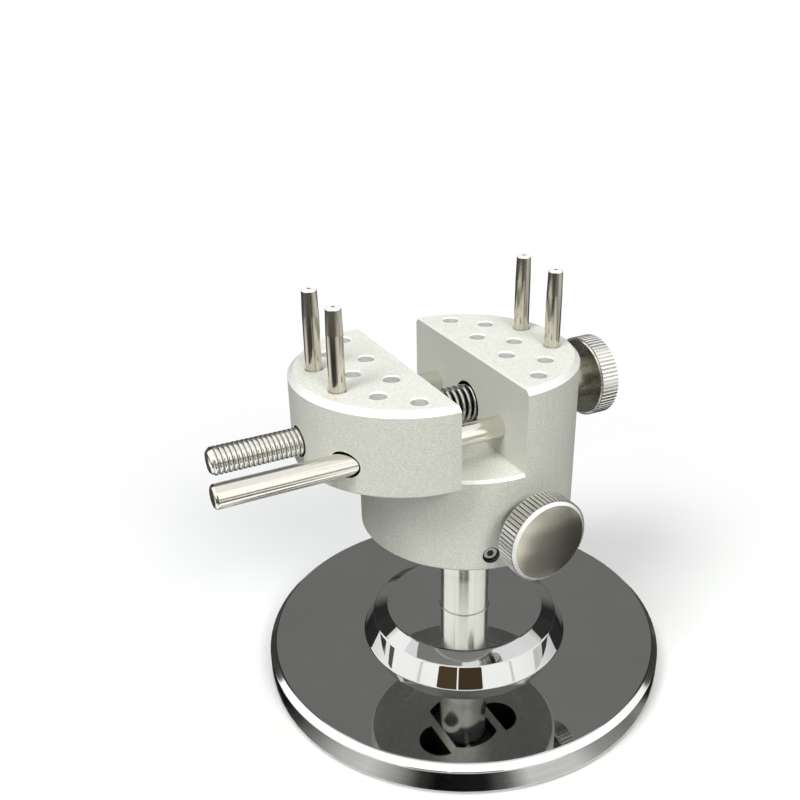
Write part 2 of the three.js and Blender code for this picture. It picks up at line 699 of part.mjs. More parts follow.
// Grub screw with a dog point inwards and a hexagonal socket outwards.
function grubShape() {
  const tip = POST_GROOVE_RADIUS + GRUB_TIP_GAP;
  const outer = HEAD_RADIUS - GRUB_BELOW_SURFACE;
  const screw = solid(turned([
    [0, tip],
    [GRUB_DOG_RADIUS, tip],
    [GRUB_DOG_RADIUS, tip + GRUB_DOG_LENGTH],
    [GRUB_RADIUS, tip + GRUB_DOG_LENGTH],
    [GRUB_RADIUS, outer],
    [0, outer],
  ], SMALL_FACETS));
  const socket = solid(hexagon(GRUB_SOCKET_ACROSS, outer - GRUB_SOCKET_DEPTH, outer + OVERRUN));
  return outwards(geometryOf(screw.subtract(socket)), GRUB_AZIMUTH, GRUB_Z);
}

const FINISHES = {
  chrome: { color: 0xc9ccd0, roughness: 0.08, metalness: 1 },
  steel: { color: 0xd2d0c8, roughness: 0.22, metalness: 1 },
  springSteel: { color: 0xb9b6ae, roughness: 0.2, metalness: 1 },
  aluminium: { color: 0xc9c9bd, roughness: 0.55, metalness: 0.8 },
  brass: { color: 0xc7a25a, roughness: 0.35, metalness: 1 },
  darkSteel: { color: 0x4a4a4c, roughness: 0.45, metalness: 0.9 },
  rubber: { color: 0x1c1c1d, roughness: 0.85, metalness: 0 },
  acetal: { color: 0xe6e4dc, roughness: 0.5, metalness: 0 },
};

// A named mesh of a manifold solid or a plain geometry.
function part(name, shape, finish) {
  const geometry = shape.isBufferGeometry ? shape : geometryOf(shape);
  const mesh = new THREE.Mesh(geometry, new THREE.MeshStandardMaterial(FINISHES[finish]));
  mesh.name = name;
  return mesh;
}

// The foot of the vise: base, pad, post and what holds them together.
function stand() {
  const group = new THREE.Group();
  group.add(
    part('base', baseShape(), 'chrome'),
    part('anti_slip_pad', padShape(), 'rubber'),
    part('post', postShape(), 'steel'),
    part('post_screw', postScrewShape(), 'darkSteel'),
    part('post_screw_washer', postWasherShape(), 'darkSteel'),
  );
  return group;
}

// Two pins of one jaw; side is 1 on the fixed jaw and -1 on the sliding one.
function jawPins(side, prefix) {
  return pinnedPlaces().map(([back, sideways], index) => {
    const pin = part(`${prefix}_pin_${index === 0 ? 'front' : 'rear'}`, pinShape(), 'steel');
    pin.position.set(side * back, sideways, 0);
    return pin;
  });
}

// What swivels on the post, apart from the sliding jaw.
function head() {
  const group = new THREE.Group();
  group.add(
    part('vise_body', viseBodyShape(), 'aluminium'),
    part('thrust_pad', thrustPadShape(), 'acetal'),
    part('retaining_grub_screw', grubShape(), 'darkSteel'),
    part('guide_rod_front', guideRodShape(FRONT_ROD_REACH, -ROD_OFFSET), 'steel'),
    part('guide_rod_rear', guideRodShape(REAR_ROD_REACH, ROD_OFFSET), 'steel'),
    part('lead_screw', leadScrewShape(), 'steel'),
    part('screw_knob', screwKnobShape(), 'steel'),
    part('screw_thrust_washer', screwWasherShape(), 'brass'),
    part('spring', springShape(), 'springSteel'),
    part('lock_knob', lockKnobShape(), 'steel'),
    part('lock_stud', lockStudShape(), 'steel'),
    part('lock_tip', lockTipShape(), 'brass'),
    ...jawPins(1, 'fixed_jaw'),
  );
  return group;
}

function slidingJaw() {
  const group = new THREE.Group();
  group.add(
    part('movable_jaw', movableJawShape(), 'aluminium'),
    ...jawPins(-1, 'movable_jaw'),
  );
  group.position.x = -JAW_GAP;
  return group;
}

const vise = new THREE.Group();
vise.add(stand(), head(), slidingJaw());
vise.updateMatrixWorld(true);

export default vise;
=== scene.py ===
"""Looks of the hobby vise: finishes, threads, knurling, spring, camera and light, in metres."""
import math

import bmesh
import bpy
from mathutils import Matrix, Vector


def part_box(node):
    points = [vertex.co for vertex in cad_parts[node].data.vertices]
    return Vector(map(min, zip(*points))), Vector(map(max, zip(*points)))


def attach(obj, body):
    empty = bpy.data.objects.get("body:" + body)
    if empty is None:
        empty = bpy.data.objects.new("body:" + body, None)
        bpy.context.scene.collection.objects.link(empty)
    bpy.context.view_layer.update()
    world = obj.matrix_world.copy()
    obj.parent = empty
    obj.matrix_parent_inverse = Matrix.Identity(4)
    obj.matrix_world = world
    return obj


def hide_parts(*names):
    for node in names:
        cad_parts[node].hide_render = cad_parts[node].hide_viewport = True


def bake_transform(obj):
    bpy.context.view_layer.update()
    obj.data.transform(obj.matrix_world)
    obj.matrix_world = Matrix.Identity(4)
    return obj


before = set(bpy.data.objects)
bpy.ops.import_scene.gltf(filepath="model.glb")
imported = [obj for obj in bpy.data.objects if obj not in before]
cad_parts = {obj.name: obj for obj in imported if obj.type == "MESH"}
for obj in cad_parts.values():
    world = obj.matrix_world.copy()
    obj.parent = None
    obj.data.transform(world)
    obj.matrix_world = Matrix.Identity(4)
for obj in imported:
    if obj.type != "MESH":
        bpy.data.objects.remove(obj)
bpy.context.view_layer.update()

MM = 0.001
FULL_TURN = 2 * math.pi
UPRIGHT = Matrix.Identity(4)

# Camera, fitted to the photograph's outlines of the base, hub, head, jaws and rods
CAMERA_PLACE = Vector((-97.8, -168.1, 160.4)) * MM
CAMERA_YAW = math.radians(30.08)
CAMERA_PITCH = math.radians(26.18)
CAMERA_ROLL = math.radians(0.68)
CAMERA_AZIMUTH = math.atan2(CAMERA_PLACE.y, CAMERA_PLACE.x)
CAMERA_LENS = 42.24
CAMERA_SENSOR = 36
CAMERA_SHIFT = (-0.0813, 0.0291)
CAMERA_NEAREST = 0.01

# Lamps, as (name, place, side, power, colour), in metres and watts, and the point they look at
LAMPS = (
    ("overhead", (0, 0, 1.1), 0.9, 4.1, (0.94, 0.97, 1)),
    ("key", (-0.8, -0.25, 1.15), 0.5, 10.8, (0.98, 1, 0.98)),
    ("fill", (0.0, -1.05, 0.9), 0.5, 9, (1, 1, 0.94)),
    ("rear", (0.8, 0.8, 0.8), 0.6, 2.6, (1, 1, 1)),
)
LAMP_AIM = (0, 0, 0.05)
WORLD_LIGHT = 0.12

# Floor, in metres, with the grey that is seen and the one that throws light back
FLOOR_HALF = 4
FLOOR_FADE_START = 0.085
FLOOR_FADE_END = 0.2
FLOOR_SEEN_GREY = 0.9
FLOOR_LIT_GREY = 0.3

# Painted reflections, cards that only gloss sees: strength of their glow, plain tint, and tint of the
# dark panels
CARD_STRENGTH = 1.3
CARD_TINT = (1, 0.99, 0.96)
PANEL_TINT = (1, 0.68, 0.36)

# Round card of painted reflection for the room, in metres, with stops of (degrees right of the camera,
# level)
ROOM_RADIUS = 1.6
ROOM_HEIGHT = 2.3
ROOM_STOPS = (
    (-180, 0.165), (-150, 0.154), (-142, 0.023), (-130, 0.023), (-118, 1), (-48, 1), (-47, 0.6),
    (-45.5, 0.6), (-44.5, 1), (50, 1), (51, 0.6), (52.5, 0.6), (53.5, 1), (90, 0.85), (118, 0.7),
    (130, 0.023), (142, 0.023), (150, 0.154), (180, 0.165),
)

# Rings of painted reflection of the ground from the base outwards, as (name, outer radius, stops), in
# metres
GROUND_START = 0.0496
GROUND_HEIGHT = 0.0005
GROUND_RINGS = (
    ("card_beside_base", 0.064, (
        (-180, 0.5), (-155, 0.1), (-125, 0.45), (-100, 0.08), (-85, 0.004), (-62, 0.004),
        (-54, 0.04), (-44, 0.22), (-35, 0.5), (-26.5, 0.62), (-18.4, 0.35), (-11.8, 0.04),
        (-7, 0.002), (6.6, 0.008), (12.2, 0.12), (18.4, 0.62), (32.2, 0.62), (40.7, 0.3),
        (55, 0.17), (61.3, 0.22), (68, 0.008), (85, 0.008), (100, 0.08), (125, 0.45),
        (155, 0.1), (180, 0.5))),
    ("card_ground_near", 0.1, (
        (-180, 0.08), (-120, 0.04), (-84, 0.04), (-70, 0.85), (0, 1), (33, 1), (39, 0.16),
        (60, 0.09), (72, 0.04), (110, 0.04))),
    ("card_ground_middle", 0.16, (
        (-180, 0.08), (-120, 0.04), (-90, 0.04), (-80, 0.85), (-40, 0.8), (-20, 0.07),
        (26, 0.07), (33, 0.9), (38, 0.8), (46, 0.19), (60, 0.1), (72, 0.04), (110, 0.04))),
    ("card_ground", 0.28, (
        (-180, 0.04), (-110, 0.04), (-95, 0.9), (-70, 0.9), (-50, 0.04), (-3, 0.04), (8, 0.3),
        (20, 0.75), (44, 0.8), (55, 0.38), (66, 0.22), (74, 0.12), (82, 0.6), (98, 0.6),
        (112, 0.04))),
    ("card_ground_far", 1.6, (
        (-120, 0.08), (-20, 0.1), (20, 0.12), (45, 0.2), (60, 0.55), (100, 0.55), (118, 0.12))),
)

# Low dark cards of painted reflection behind, as (name, first degrees, last degrees), in metres
LOW_CARD_RADIUS = 1.5
LOW_CARD_HEIGHT = 1.3
LOW_CARD_LEVEL = 0.03
LOW_CARDS = (("card_low_left", -134, -112), ("card_low_right", 112, 134))

# Dark panels of painted reflection in front, as (name, first degrees, last degrees, level), in metres
PANEL_RADIUS = 0.35
PANEL_BOTTOM = 0.05
PANEL_TOP = 0.26
PANELS = (("card_panel_left", -26, -6.5, 0.07), ("card_panel_right", -5, 19, 0.054))

# Ranges of the noise that finishes spread over their values, and over their two colours
NOISE_VALUES = (0.3, 0.7)
NOISE_COLOURS = (0.35, 0.65)

# Roundings: longest reach along an edge, and where beyond it a holding point follows, as shares
REACH_SHARE = 0.4
HOLD_SHARE = 0.12

# Least radius of a turned ring that isn't a point on the axis, in millimetres
POLE_RADIUS = 1e-6
# Play in comparing heights, in millimetres
LEVEL_TOLERANCE = 0.01
# Points of the thread nearer than this are merged, in metres
MERGE_DISTANCE = 1e-7

# Base, with lengths in millimetres
BASE_FINISHES = ("chrome", "turned_chrome", "bevel_highlight")
BASE_RADIUS = 49.1
BASE_BOTTOM = 0.4
BASE_UNDERSIDE = 2.0
BASE_LIP_RADIUS = 48.7
BASE_LIP_TOP = 0.8
BASE_WALL_TOP = 6.5
BASE_WALL_DEPTH = 0.05
BASE_TOP = 7.7
BASE_TOP_RADIUS = 47.6
BASE_ROUNDING = 0.3
BASE_SEGMENTS = 256
PAD_RADIUS = 45.2
HUB_FOOT_RADIUS = 25.4
HUB_WAIST_RADIUS = 23.0
HUB_WAIST_TOP = 12.6
HUB_TOP_RADIUS = 19.4
HUB_TOP = 14.5
SOCKET_PLAY = 0.02
SOCKET_BOTTOM = 10.0

# Post and its neck, with lengths in millimetres
POST_RADIUS = 6.17
POST_CHAMFER = 0.5
POST_NECK_RADIUS = 5.2
POST_NECK_BOTTOM = 43.3
POST_NECK_TOP = 46.5
POST_ROUNDING = 0.12
POST_SEGMENTS = 128

# Finishes of the head and the jaw, in the order of their material slots; the second is partly painted
# highlight, the third and fourth are painted shade
JAW_FINISHES = ("aluminium", "edge", "bore", "underside_shade", "hole")

# Where the bright chamfers, partly painted highlight, and the pin holes of the head and the jaw lie,
# in millimetres
CHAMFER_INSIDE = 23.7
CHAMFER_LEVELS = ((40.9, 41.6), (62.8, 64.3), (81.6, 83))
JAW_EDGE_LEVEL = 82.4
PIN_HOLE_BOTTOM = 74.9

# Recess and pockets of the underside, which take painted shade, in millimetres
UNDERSIDE_RECESS_RADIUS = 17
UNDERSIDE_RECESS_TOP = 41.5
UNDERSIDE_TOP = 58.5

# Bores of the drive, as (place sideways, radius that takes in their walls), and where they lie; their
# walls take painted shade
BORES = ((-14, 3.1), (0, 5.3), (14, 3.1))
BORE_INSIDE = 24.8
FLAT_FACE_DEPTH = 0.01

# Hole of the grub screw, which takes painted shade, in millimetres
GRUB_AZIMUTH = math.radians(-107)
GRUB_Z = 44.9
GRUB_MOUTH_RADIUS = 2.0

# Upright part of the normals of chamfers, faces that look down, upright walls and bar ends
SLANTED = (0.35, 0.95)
LOOKS_DOWN = -0.9
UPRIGHT_WALL = 0.1
BAR_END = 0.99

# Edges sharper than these stay sharp in shading, in degrees
SHARP_ANGLE = 35
CAD_SHARP_ANGLE = 30
KNOB_SHARP_ANGLE = 28
THREAD_SHARP_ANGLE = 50
SPRING_SHARP_ANGLE = 60

# Lead screw, in millimetres
DRIVE_Z = 70.15
SCREW_RADIUS = 3.0
SCREW_PITCH = 1.0
SCREW_END_CHAMFER = 0.75
THREAD_END = 2
# Thread faces deeper than this radius take painted shade, in millimetres
THREAD_SHADE_RADIUS = 2.67
# One pitch of the thread, as (share of the pitch, depth)
THREAD_SECTION = (
    (0, 0), (0.5, 0), (0.58, 0.06), (0.7, 0.36), (0.75, 0.42), (0.8, 0.36), (0.92, 0.06))

# Guide rods, with lengths in millimetres
ROD_RADIUS = 2.5
ROD_OFFSET = 14
ROD_CHAMFER = 0.45
ROD_ROUNDING = 0.25
ROD_SEGMENTS = 64

# Parts of a knob, in the order of its material slots
KNOB_PARTS = ("rim", "edge", "face", "boss", "groove")

# Knobs, with lengths in millimetres
KNOB_RADIUS = 9.6
KNOB_RIM_LENGTH = 5.2
KNOB_EDGE = 1.0
KNOB_BACK_EDGE = 0.25
KNOB_FRONT_EDGE = 0.6
KNOB_DOME = 0.9
KNOB_DOME_STEPS = 14
KNOB_BOSS_RADIUS = 5
KNOB_BOSS_CHAMFER = 0.3
KNOB_BACK_GAP = 0.02
KNOB_SHOULDER_DROP = 0.04
KNURL_RIDGES = 62
KNURL_DEPTH = 0.34
# Knurl faces deeper than this take a darker finish as painted shade in the grooves
KNURL_SHADE_DEPTH = KNURL_DEPTH / 3
SEGMENTS_PER_RIDGE = 8
GROOVE_NARROWNESS = 3
SCREW_KNOB_START = 25.35
SCREW_KNOB_BOSS = 6
LOCK_AZIMUTH = math.radians(-88)
LOCK_Z = 51.1
LOCK_KNOB_START = 25.7
LOCK_KNOB_BOSS = 2.6

# Spring, with lengths in millimetres
SPRING_LEFT = -24.3
SPRING_RIGHT = 8.7
SPRING_WIRE_RADIUS = 0.42
SPRING_WIRE_SIDES = 12
SPRING_COIL_RADIUS = 4
SPRING_TURNS = 19
SPRING_END_SWING = FULL_TURN * 3 / 16

# Pins, with lengths in millimetres
PIN_RADIUS = 1.75
PIN_TOP_RADIUS = 1.62
PIN_TAPER_SHARE = 0.78
PIN_CHAMFER_HEIGHT = 0.3
PIN_CHAMFER_WIDTH = 0.35
PIN_PIP_HEIGHT = 0.12
PIN_PIP_FOOT_RADIUS = 0.45
PIN_PIP_TOP_RADIUS = 0.25
PIN_ROUNDING = 0.12
PIN_SEGMENTS = 48
# Depth and least radius of the pins' bright top, which takes the bright edge finish as painted
# highlight
PIN_BRIGHT_DEPTH = 0.35
PIN_BRIGHT_RADIUS = 0.4

# Nodes that keep their solids, with their finishes
CAD_FINISHES = (
    ("anti_slip_pad", "rubber"),
    ("thrust_pad", "acetal"),
    ("post_screw", "dark"),
    ("post_screw_washer", "dark"),
    ("retaining_grub_screw", "grub"),
    ("screw_thrust_washer", "brass"),
    ("lock_tip", "brass"),
    ("lock_stud", "steel"),
)


def set_camera():
    """Puts the camera where the photograph was taken."""
    data = bpy.data.cameras.new("camera")
    camera = bpy.data.objects.new("camera", data)
    bpy.context.scene.collection.objects.link(camera)
    forward = Vector((
        math.sin(CAMERA_YAW) * math.cos(CAMERA_PITCH),
        math.cos(CAMERA_YAW) * math.cos(CAMERA_PITCH),
        -math.sin(CAMERA_PITCH),
    ))
    level = Vector((math.cos(CAMERA_YAW), -math.sin(CAMERA_YAW), 0))
    rise = level.cross(forward)
    right = math.cos(CAMERA_ROLL) * level + math.sin(CAMERA_ROLL) * rise
    up = -math.sin(CAMERA_ROLL) * level + math.cos(CAMERA_ROLL) * rise
    turn = Matrix((right, up, -forward)).transposed().to_4x4()
    camera.matrix_world = Matrix.Translation(CAMERA_PLACE) @ turn
    data.sensor_width = CAMERA_SENSOR
    data.lens = CAMERA_LENS
    data.shift_x, data.shift_y = CAMERA_SHIFT
    data.clip_start = CAMERA_NEAREST
    bpy.context.scene.camera = camera


def new_material(name):
    """A material with its nodes, its links and its shader, ready for textures."""
    material = bpy.data.materials.new(name)
    material.use_nodes = True
    nodes = material.node_tree.nodes
    return material, nodes, material.node_tree.links, nodes["Principled BSDF"]


def object_noise(nodes, links, scale, detail=3.0, stretch=(1, 1, 1)):
    """Noise that stays with the object, in grains of about one metre over scale."""
    place = nodes.new("ShaderNodeTexCoord")
    mapping = nodes.new("ShaderNodeMapping")
    mapping.inputs["Scale"].default_value = stretch
    texture = nodes.new("ShaderNodeTexNoise")
    texture.inputs["Scale"].default_value = scale
    texture.inputs["Detail"].default_value = detail
    links.new(place.outputs["Object"], mapping.inputs["Vector"])
    links.new(mapping.outputs["Vector"], texture.inputs["Vector"])
    return texture.outputs["Fac"]


def mapped(nodes, links, source, low, high):
    """Maps a noise value to a range."""
    ramp = nodes.new("ShaderNodeMapRange")
    ramp.inputs["From Min"].default_value, ramp.inputs["From Max"].default_value = NOISE_VALUES
    ramp.inputs["To Min"].default_value = low
    ramp.inputs["To Max"].default_value = high
    links.new(source, ramp.inputs["Value"])
    return ramp.outputs["Result"]


def mixed_colours(nodes, links, source, first, second):
    """Mixes two colours by a noise value."""
    ramp = nodes.new("ShaderNodeValToRGB")
    elements = ramp.color_ramp.elements
    for element, position, colour in zip(elements, NOISE_COLOURS, (first, second)):
        element.position = position
        element.color = (*colour, 1)
    links.new(source, ramp.inputs["Fac"])
    return ramp.outputs["Color"]


def add_bump(nodes, links, shader, source, height, strength):
    """Raises the surface by a noise value."""
    bump = nodes.new("ShaderNodeBump")
    bump.inputs["Distance"].default_value = height
    bump.inputs["Strength"].default_value = strength
    links.new(source, bump.inputs["Height"])
    links.new(bump.outputs["Normal"], shader.inputs["Normal"])


def metal(name, first, second, roughness, grain, bump=0.0, stretch=(1, 1, 1), metallic=1.0):
    """A metal whose colour, gloss and surface vary with one grain."""
    material, nodes, links, shader = new_material(name)
    shader.inputs["Metallic"].default_value = metallic
    source = object_noise(nodes, links, grain, stretch=stretch)
    links.new(mixed_colours(nodes, links, source, first, second), shader.inputs["Base Color"])
    links.new(mapped(nodes, links, source, *roughness), shader.inputs["Roughness"])
    if bump:
        add_bump(nodes, links, shader, source, bump, strength=1)
    return material


def blasted_aluminium():
    """Bead-blasted, anodised aluminium: fine pearly grain over a soft sheen."""
    material, nodes, links, shader = new_material("blasted_aluminium")
    shader.inputs["Metallic"].default_value = 0.06
    shader.inputs["Specular IOR Level"].default_value = 0.3
    fine = object_noise(nodes, links, scale=3600, detail=2)
    broad = object_noise(nodes, links, scale=90, detail=2)
    colour = mixed_colours(nodes, links, fine, (0.66, 0.665, 0.60), (0.84, 0.845, 0.78))
    links.new(colour, shader.inputs["Base Color"])
    links.new(mapped(nodes, links, broad, low=0.46, high=0.54), shader.inputs["Roughness"])
    add_bump(nodes, links, shader, fine, height=0.00003, strength=0.6)
    return material


def cut_edge_and_highlight():
    """Bright edges, cut after blasting, with a fine grain; their lightness is partly painted
    highlight.
    """
    material, nodes, links, shader = new_material("cut_edge_and_highlight")
    shader.inputs["Metallic"].default_value = 0.15
    marks = object_noise(nodes, links, scale=2200, detail=1)
    colour = mixed_colours(nodes, links, marks, (0.92, 0.92, 0.90), (0.97, 0.97, 0.95))
    links.new(colour, shader.inputs["Base Color"])
    links.new(mapped(nodes, links, marks, low=0.3, high=0.4), shader.inputs["Roughness"])
    return material


def turned_chrome():
    """The base's turned side, whose fine lines draw reflections out along the axis."""
    material = metal("turned_chrome", (0.62, 0.63, 0.62), (0.66, 0.67, 0.66), (0.10, 0.13), 1200,
                     stretch=(0.05, 0.05, 1))
    nodes, links = material.node_tree.nodes, material.node_tree.links
    shader = nodes["Principled BSDF"]
    shader.inputs["Anisotropic"].default_value = 0.9
    shader.inputs["Anisotropic Rotation"].default_value = 0.25
    tangent = nodes.new("ShaderNodeTangent")
    tangent.direction_type = "RADIAL"
    tangent.axis = "Z"
    links.new(tangent.outputs["Tangent"], shader.inputs["Tangent"])
    return material


def rubber():
    """Matt black rubber with a fine pebble."""
    material, nodes, links, shader = new_material("pad_rubber")
    source = object_noise(nodes, links, scale=1500)
    colour = mixed_colours(nodes, links, source, (0.012, 0.012, 0.013), (0.03, 0.03, 0.032))
    links.new(colour, shader.inputs["Base Color"])
    links.new(mapped(nodes, links, source, low=0.7, high=0.9), shader.inputs["Roughness"])
    add_bump(nodes, links, shader, source, height=0.0001, strength=0.8)
    return material


def acetal():
    """Pale machined plastic."""
    material, nodes, links, shader = new_material("acetal")
    source = object_noise(nodes, links, scale=900)
    colour = mixed_colours(nodes, links, source, (0.74, 0.73, 0.68), (0.8, 0.79, 0.74))
    links.new(colour, shader.inputs["Base Color"])
    links.new(mapped(nodes, links, source, low=0.4, high=0.55), shader.inputs["Roughness"])
    return material


def finishes():
    """Every finish of the vise, by name; a metal has two colours, its roughness and its grain."""
    return {
        "chrome": metal("chrome_plate", (0.64, 0.65, 0.65), (0.67, 0.68, 0.68), (0.02, 0.035), 60),
        "turned_chrome": turned_chrome(),
        "steel": metal("polished_steel", (0.70, 0.69, 0.65), (0.76, 0.75, 0.71), (0.12, 0.16), 1100),
        "post": metal("ground_steel", (0.95, 0.95, 0.89), (0.97, 0.97, 0.91), (0.16, 0.2), 1500,
                      bump=0.000002, stretch=(1, 1, 0.04), metallic=0.85),
        "thread": metal("thread_steel", (0.82, 0.81, 0.76), (0.88, 0.87, 0.82), (0.16, 0.22), 1100),
        "rod": metal("rod_steel", (0.79, 0.77, 0.70), (0.82, 0.80, 0.73), (0.13, 0.16), 500),
        "pin": metal("pin_steel", (0.49, 0.46, 0.38), (0.69, 0.66, 0.58), (0.12, 0.2), 1400,
                     stretch=(1, 1, 0.06)),
        "grub": metal("grub_steel", (0.50, 0.50, 0.47), (0.60, 0.60, 0.57), (0.4, 0.5), 1500),
        "knurl": metal("knurled_steel", (0.84, 0.83, 0.79), (0.88, 0.87, 0.83), (0.32, 0.36), 900),
        # Lighter copy of the knurled steel as painted light on the screw knob's ridges
        "knurl_painted_light": metal("knurled_steel_painted_light", (0.95, 0.945, 0.92), (0.97, 0.965, 0.94),
                              (0.24, 0.28), 900),
        # Lighter copy of the chrome as painted highlight on the base's top chamfer
        "bevel_highlight": metal("chrome_painted_highlight", (0.92, 0.93, 0.92), (0.95, 0.96, 0.95), (0.1, 0.13), 60),
        # Darker metal as painted shade on the faces of the head that look down
        "underside_shade": metal("underside_painted_shade", (0.52, 0.52, 0.49), (0.6, 0.6, 0.57), (0.35, 0.42), 900),
        "hole": metal("drilled_hole", (0.66, 0.66, 0.64), (0.72, 0.72, 0.70), (0.5, 0.6), 1500,
                      metallic=0.15),
        "face": metal("lapped_face", (0.68, 0.655, 0.56), (0.71, 0.685, 0.59), (0.2, 0.22), 2600),
        "boss": metal("turned_boss", (0.40, 0.385, 0.33), (0.48, 0.465, 0.41), (0.24, 0.28), 900),
        "edge": cut_edge_and_highlight(),
        "spring": metal("spring_wire", (0.58, 0.57, 0.54), (0.70, 0.69, 0.66), (0.12, 0.2), 1200),
        # Black oxide of the post screw and its washer; in the lock knob's grooves it is painted shade
        "dark": metal("black_oxide_and_groove_shade", (0.16, 0.16, 0.16), (0.26, 0.26, 0.26), (0.3, 0.45), 1800),
        # Near-black painted shade in pockets, bores, the grub screw's hole, the thread's grooves and
        # among the spring's coils
        "bore": metal("bore_shadow", (0.05, 0.05, 0.048), (0.08, 0.08, 0.076), (0.5, 0.6), 900),
        "brass": metal("brass", (0.60, 0.41, 0.15), (0.68, 0.48, 0.2), (0.2, 0.32), 900),
        "aluminium": blasted_aluminium(),
        "rubber": rubber(),
        "acetal": acetal(),
    }


def fillet(profile, size, steps=4):
    """Rounds the inner corners of a profile of (radius, height) points with small curves.

    A holding point beside each end of a curve keeps the flat stretches between them flat in gloss.
    """
    points = [Vector(point) for point in profile]
    rounded = [points[0]]
    for before, corner, after in zip(points, points[1:], points[2:]):
        reach_in = min(size, (before - corner).length * REACH_SHARE)
        reach_out = min(size, (after - corner).length * REACH_SHARE)
        back = (before - corner).normalized()
        onward = (after - corner).normalized()
        start = corner + back * reach_in
        end = corner + onward * reach_out
        rounded.append(start + back * reach_in * HOLD_SHARE)
        for step in range(steps + 1):
            share = step / steps
            rounded.append(
                start * (1 - share) ** 2 + corner * 2 * share * (1 - share) + end * share ** 2)
        rounded.append(end + onward * reach_out * HOLD_SHARE)
    return [*rounded, points[-1]]


def object_from(name, mesh_maker, matrix, materials, sharp_angle=SHARP_ANGLE):
    """Makes an object from a bmesh filled by mesh_maker, placed by a matrix."""
    work = bmesh.new()
    mesh_maker(work)
    bmesh.ops.transform(work, matrix=matrix, verts=work.verts)
    bmesh.ops.recalc_face_normals(work, faces=work.faces)
    mesh = bpy.data.meshes.new(name)
    work.to_mesh(mesh)
    work.free()
    for material in materials:
        mesh.materials.append(material)
    mesh.shade_smooth()
    mesh.set_sharp_from_angle(angle=math.radians(sharp_angle))
    piece = bpy.data.objects.new(name, mesh)
    bpy.context.scene.collection.objects.link(piece)
    return piece


def turned_maker(profile, segments, material_of=None, radius_at=None, shade=None):
    """Fills a bmesh with a profile turned about Z, in millimetres; poles close at radius zero.

    Where shade is given, as (least height, greatest height, radius, finish index), faces that lie
    deeper than that radius between those heights take that finish.
    """
    def make(work):
        rings = []
        for radius, height in profile:
            if radius < POLE_RADIUS:
                rings.append([work.verts.new((0, 0, height * MM))])
                continue
            ring = []
            for step in range(segments):
                angle = FULL_TURN * step / segments
                reach = radius_at(radius, height, angle) if radius_at else radius
                ring.append(work.verts.new((
                    reach * math.cos(angle) * MM, reach * math.sin(angle) * MM, height * MM)))
            rings.append(ring)
        for row, (low, high) in enumerate(zip(rings, rings[1:])):
            for step in range(segments):
                following = (step + 1) % segments
                corners = [
                    low[step % len(low)], low[following % len(low)],
                    high[following % len(high)], high[step % len(high)],
                ]
                face = work.faces.new(list(dict.fromkeys(corners)))
                if material_of:
                    face.material_index = material_of(profile[row], profile[row + 1])
                if shade:
                    least, greatest, within, index = shade
                    centre = face.calc_center_median() / MM
                    if least < centre.z < greatest and centre.xy.length < within:
                        face.material_index = index
    return make


def along_x(y=0):
    """Lays a piece made along +Z along +X at the drive's height."""
    return Matrix.Translation((0, y * MM, DRIVE_Z * MM)) @ Matrix.Rotation(math.pi / 2, 4, "Y")


def outwards(azimuth, height):
    """Lays a piece made along +Z outwards from the post's axis."""
    return (Matrix.Translation((0, 0, height * MM)) @ Matrix.Rotation(azimuth, 4, "Z")
            @ Matrix.Rotation(math.pi / 2, 4, "Y"))


def seat(piece, body, slot, *nodes):
    """Rides a piece on its body and lets it stand for its nodes."""
    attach(piece, body)
    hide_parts(*nodes)


def base_finish(first, second):
    """Place among BASE_FINISHES of the band of the base between two points of its profile."""
    inner, lower = min(first[0], second[0]), min(first[1], second[1])
    if inner > BASE_RADIUS - BASE_WALL_DEPTH:
        return BASE_FINISHES.index("turned_chrome")
    # The top chamfer takes a lighter copy of the chrome as painted highlight
    bevel_highlight = inner > BASE_TOP_RADIUS and lower > BASE_WALL_TOP
    return BASE_FINISHES.index("bevel_highlight" if bevel_highlight else "chrome")


def make_base(finish):
    """The chromed base with its coned hub, softly broken edges and the socket of the post."""
    socket = POST_RADIUS + SOCKET_PLAY
    profile = fillet([
        (0, BASE_UNDERSIDE), (PAD_RADIUS, BASE_UNDERSIDE), (PAD_RADIUS, BASE_BOTTOM),
        (BASE_LIP_RADIUS, BASE_BOTTOM), (BASE_RADIUS, BASE_LIP_TOP), (BASE_RADIUS, BASE_WALL_TOP),
        (BASE_TOP_RADIUS, BASE_TOP), (HUB_FOOT_RADIUS, BASE_TOP),
        (HUB_WAIST_RADIUS, HUB_WAIST_TOP), (HUB_TOP_RADIUS, HUB_TOP),
        (socket, HUB_TOP), (socket, SOCKET_BOTTOM), (0, SOCKET_BOTTOM),
    ], BASE_ROUNDING)
    piece = object_from(
        "base_chromed",
        turned_maker(profile, BASE_SEGMENTS, material_of=base_finish),
        UPRIGHT, [finish[name] for name in BASE_FINISHES])
    seat(piece, "stand", "chrome", "base")


def make_post(finish):
    """The ground steel post with the neck that the grub screw runs in."""
    low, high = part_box("post")
    bottom, top = low.z / MM, high.z / MM
    profile = fillet([
        (0, bottom), (POST_RADIUS - POST_CHAMFER, bottom), (POST_RADIUS, bottom + POST_CHAMFER),
        (POST_RADIUS, POST_NECK_BOTTOM), (POST_NECK_RADIUS, POST_NECK_BOTTOM),
        (POST_NECK_RADIUS, POST_NECK_TOP), (POST_RADIUS, POST_NECK_TOP),
        (POST_RADIUS, top - POST_CHAMFER), (POST_RADIUS - POST_CHAMFER, top), (0, top),
    ], POST_ROUNDING)
    maker = turned_maker(profile, POST_SEGMENTS)
    piece = object_from("post_bar", maker, UPRIGHT, [finish["post"]])
    seat(piece, "stand", "steel", "post")


